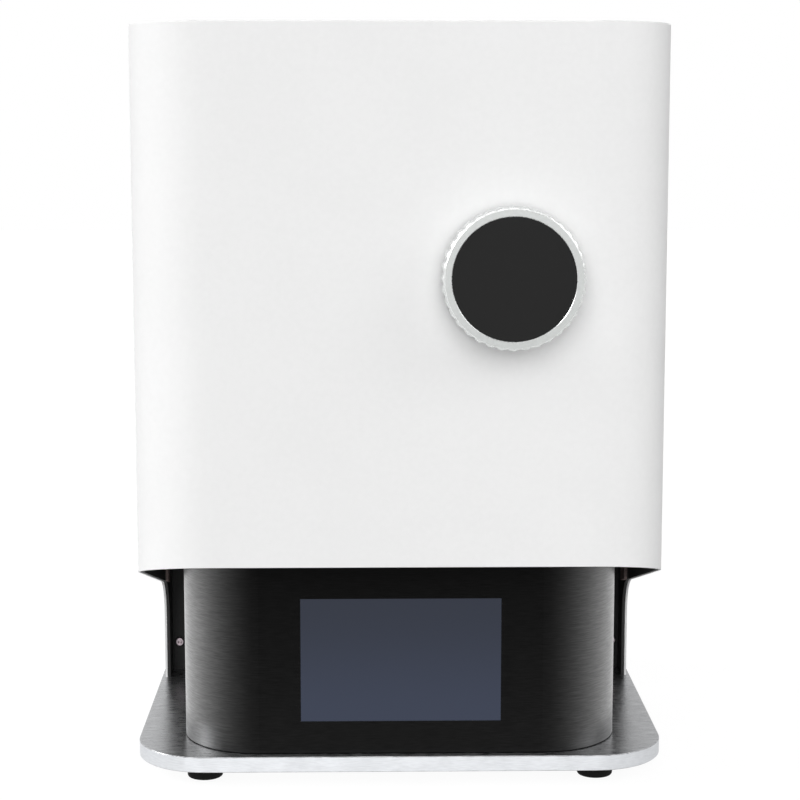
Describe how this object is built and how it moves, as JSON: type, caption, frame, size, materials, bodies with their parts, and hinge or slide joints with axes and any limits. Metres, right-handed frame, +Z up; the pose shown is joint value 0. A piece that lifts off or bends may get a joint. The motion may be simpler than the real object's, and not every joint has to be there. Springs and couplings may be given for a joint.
{
  "type": "desktop resin three-d printer",
  "caption": "White upright resin printer with a hinged front cover, round knob, black lower body with a touch screen, and a metal base plate on rubber feet.",
  "frame": {"origin": "middle of the footprint at floor level, with the knob counted in", "axes": "+X to the right seen from the front, +Y towards the back, +Z up"},
  "size_m": [0.2844, 0.3018, 0.4],
  "materials": {
    "white_paint": "smooth white powder coat",
    "black_paint": "matt black powder coat",
    "black_brushed": "black anodised, brushed along its length",
    "plate_metal": "brushed top, bright machined edge",
    "bare_metal": "clear anodised",
    "steel": "nickel plated",
    "black_steel": "black oxide",
    "rubber": "matt",
    "screen_glass": "glossy cover glass over a lit dark screen",
    "mask_glass": "glossy dark panel",
    "black_plastic": "moulded",
    "knob_grey": "satin silver",
    "knob_black": "satin black",
    "seal_brown": "soft foam rubber",
    "board_green": "solder mask",
    "lens_clear": "clear moulded lenses",
    "film": "clear film",
    "vat_metal": "black anodised",
    "brass": "machined"
  },
  "bodies": {
    "frame": {"base_plate": "plate_metal", "rubber_feet": "rubber", "foot_screws": "black_steel", "large_flat_screws": "steel", "pod_shell": "black_brushed", "touch_glass": "screen_glass", "display_module": "black_plastic", "deck_plate": "black_paint", "support_posts": "bare_metal", "mask_display": "mask_glass", "light_shroud": "black_paint", "lamp_board": "board_green", "lens_plate": "lens_clear", "heat_sink": "bare_metal", "fan_frames": "black_plastic", "vat_frame": "vat_metal", "vat_film": "film", "film_ring": "vat_metal", "ring_screws": "steel", "lift_base": "bare_metal", "lift_motor": "black_plastic", "lift_column": "bare_metal", "linear_rail": "steel", "top_block": "bare_metal", "limit_sensor": "black_plastic", "rear_wall": "black_paint", "medium_pan_screws": "steel", "rear_housing": "white_paint", "housing_lining": "black_paint", "light_seals": "seal_brown", "rear_panel": "black_paint", "small_pan_screws": "black_steel", "power_inlet": "black_plastic", "data_ports": "black_plastic", "mainboard": "board_green", "power_supply": "steel", "hinge_brackets": "black_paint", "latch_keeper": "black_paint"},
    "door": {"door_shell": "white_paint", "door_lining": "black_paint", "hinge_leaves": "black_paint", "leaf_screws": "black_steel", "hinge_pins": "steel", "knob_bushing": "steel"},
    "knob": {"knob_body": "knob_grey", "knob_face": "knob_black", "knob_spindle": "steel", "latch_arm": "black_paint", "latch_screw": "black_steel"},
    "carriage": {"rail_carriage": "steel", "lead_nut": "brass", "lift_arm": "bare_metal", "build_platform": "bare_metal"},
    "screw": {"lead_screw": "steel"},
    "platform_knob": {"clamp_knob": "black_plastic"},
    "vat_screw_left": {"vat_knob_left": "black_plastic"},
    "vat_screw_right": {"vat_knob_right": "black_plastic"},
    "light_fan": {"light_fan_rotor": "black_plastic"},
    "exhaust_fan": {"exhaust_fan_rotor": "black_plastic"},
    "rocker": {"power_rocker": "black_plastic"}
  },
  "joints": [
    {"name": "door_hinge", "type": "hinge", "parent": "frame", "child": "door", "pos_m": [-0.135, 0.01225, 0.17], "axis": [0, 0, -1], "range_deg": [0, 105]},
    {"name": "knob_turn", "type": "hinge", "parent": "door", "child": "knob", "pos_m": [0.0556, -0.13075, 0.2725], "axis": [0, -1, 0], "range_deg": [0, 90]},
    {"name": "platform_travel", "type": "slide", "parent": "frame", "child": "carriage", "axis": [0, 0, -1], "range_m": [0, 0.15]},
    {"name": "screw_spin", "type": "hinge", "parent": "frame", "child": "screw", "pos_m": [0.02, 0.09925, 0.07], "axis": [0, 0, 1], "range_deg": [-10, 6760]},
    {"name": "platform_clamp_turn", "type": "hinge", "parent": "carriage", "child": "platform_knob", "pos_m": [0, -0.02275, 0.3468], "axis": [0, 0, 1], "range_deg": [0, 720]},
    {"name": "vat_screw_left_turn", "type": "hinge", "parent": "frame", "child": "vat_screw_left", "pos_m": [-0.109, -0.02275, 0.15], "axis": [0, 0, 1], "range_deg": [0, 1080]},
    {"name": "vat_screw_right_turn", "type": "hinge", "parent": "frame", "child": "vat_screw_right", "pos_m": [0.109, -0.02275, 0.15], "axis": [0, 0, 1], "range_deg": [0, 1080]},
    {"name": "light_fan_spin", "type": "hinge", "parent": "frame", "child": "light_fan", "pos_m": [0, -0.02275, 0.0264], "axis": [0, 0, 1], "continuous": true},
    {"name": "exhaust_fan_spin", "type": "hinge", "parent": "frame", "child": "exhaust_fan", "pos_m": [0, 0.14655, 0.315], "axis": [0, 1, 0], "continuous": true},
    {"name": "rocker_tilt", "type": "hinge", "parent": "frame", "child": "rocker", "pos_m": [0.07, 0.14805, 0.097], "axis": [1, 0, 0], "range_deg": [0, 14]}
  ],
  "couplings": [
    {"joint": "screw_spin", "follows": "platform_travel", "rad_per_m": 785.4}
  ]
}
